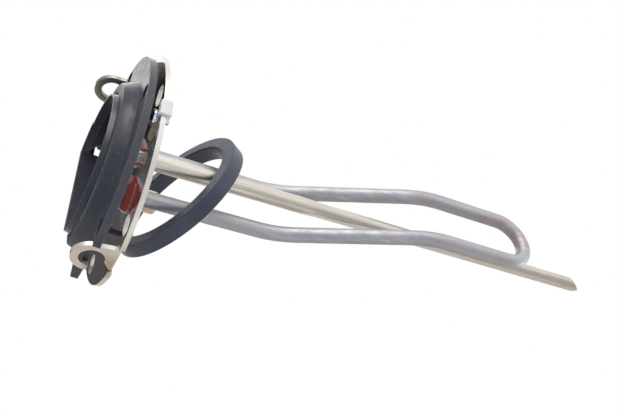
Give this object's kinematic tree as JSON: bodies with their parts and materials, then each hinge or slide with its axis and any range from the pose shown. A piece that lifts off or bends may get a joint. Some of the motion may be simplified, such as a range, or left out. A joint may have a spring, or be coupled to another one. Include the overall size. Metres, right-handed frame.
{
  "type": "flanged immersion heating element",
  "caption": "Round flange with folded hooks carrying a bent hairpin heating element, a sensor pocket, an anode bush, a terminal shroud and a loose rubber gasket.",
  "frame": {"origin": "on the flange axis, in the face of the flange towards the tank", "axes": "+Z along the flange axis into the tank, +Y towards one bolt hole, the two hooks stand at +X and -X and open towards -Y"},
  "size_m": [0.1261, 0.1257, 0.3057],
  "materials": {
    "plated_steel": "satin zinc plating, glossy on the outer face",
    "black_plastic": "satin black moulding",
    "sheath_steel": "drawn grey sheath",
    "magnesia": "packed powder",
    "resistance_wire": "bare wire",
    "terminal_steel": "tinned",
    "white_ceramic": "unglazed",
    "red_seal": "glossy cast resin",
    "braze": "brazing metal",
    "pocket_steel": "bright drawn tube",
    "bush_steel": "plated turned bush",
    "clip_white": "smooth white",
    "blue_zinc": "blue zinc plating",
    "tab_brass": "dull brass",
    "black_rubber": "moulded rubber"
  },
  "bodies": {
    "root": {"flange_plate": "plated_steel", "shroud": "black_plastic", "heater_sheath": "sheath_steel", "magnesia_fill": "magnesia", "resistance_coil": "resistance_wire", "terminal_pin_near": "terminal_steel", "terminal_pin_rear": "terminal_steel", "terminal_blade_near": "terminal_steel", "terminal_blade_rear": "terminal_steel", "ceramic_bush_near": "white_ceramic", "ceramic_bush_rear": "white_ceramic", "end_seal_near": "red_seal", "end_seal_rear": "red_seal", "leg_braze_near": "braze", "leg_braze_rear": "braze", "pocket_tube": "pocket_steel", "pocket_braze": "braze", "anode_bush": "bush_steel", "rim_clip": "clip_white", "earth_tab": "tab_brass", "earth_washer": "blue_zinc", "earth_screw": "blue_zinc", "gasket": "black_rubber"}
  },
  "joints": []
}
